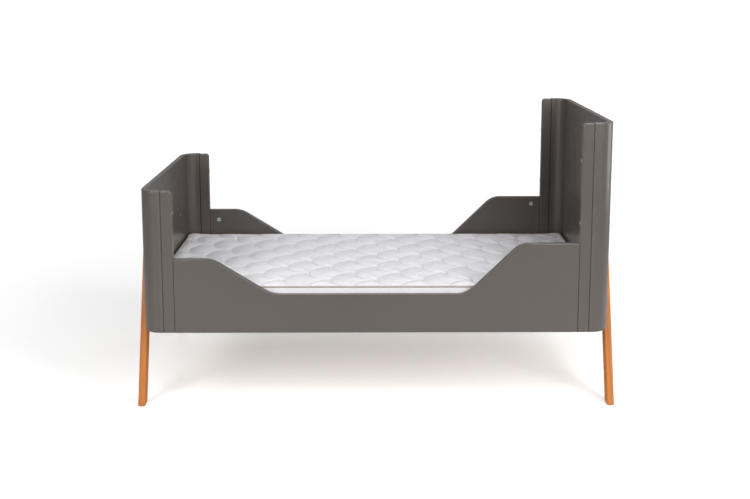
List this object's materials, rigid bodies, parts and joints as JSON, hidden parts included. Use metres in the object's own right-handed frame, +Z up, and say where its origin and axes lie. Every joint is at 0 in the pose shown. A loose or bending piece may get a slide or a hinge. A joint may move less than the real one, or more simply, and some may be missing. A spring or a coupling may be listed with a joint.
{
  "type": "toddler bed",
  "caption": "Toddler bed with U-shaped grey end panels on leaning beech legs, scooped side rails, a slatted base and a quilted mattress.",
  "frame": {"origin": "centre of the footprint, on the floor", "axes": "+X to the head end, +Y to the back, +Z up"},
  "size_m": [1.494, 0.756, 0.895],
  "materials": {
    "grey_paint": "satin warm grey paint on board",
    "beech": "matte oiled beech",
    "pine": "matte planed pine",
    "insert_brass": "satin",
    "zinc_steel": "satin",
    "foam": "matte foam",
    "quilted_cover": "matte quilted cotton",
    "piping": "matte twisted cord"
  },
  "bodies": {
    "bed_frame": {"foot_end_panel": "grey_paint", "head_end_panel": "grey_paint", "foot_stile_front": "grey_paint", "foot_stile_back": "grey_paint", "head_stile_front": "grey_paint", "head_stile_back": "grey_paint", "front_rail": "grey_paint", "back_rail": "grey_paint", "foot_leg_front": "beech", "foot_leg_back": "beech", "head_leg_front": "beech", "head_leg_back": "beech", "base_side_rail_front": "pine", "base_side_rail_back": "pine", "base_end_rail_foot": "pine", "base_end_rail_head": "pine", "slat_1": "pine", "slat_2": "pine", "slat_3": "pine", "slat_4": "pine", "slat_5": "pine", "slat_6": "pine", "slat_7": "pine", "slat_8": "pine", "slat_9": "pine", "slat_10": "pine", "slat_11": "pine", "slat_12": "pine", "slat_13": "pine", "stile_inserts": "insert_brass", "stile_dowels": "beech", "rail_cam_bolts": "zinc_steel", "rail_cam_locks": "zinc_steel", "leg_bolts": "zinc_steel", "leg_inserts": "insert_brass", "base_bolts": "zinc_steel", "base_inserts": "insert_brass", "base_corner_screws": "zinc_steel", "slat_screws": "zinc_steel"},
    "mattress": {"mattress_core": "foam", "mattress_cover": "quilted_cover", "mattress_piping_top": "piping", "mattress_piping_bottom": "piping"}
  },
  "joints": [
    {"name": "mattress_lift", "type": "slide", "parent": "bed_frame", "child": "mattress", "axis": [0, 0, 1], "range_m": [0, 0.65]}
  ]
}
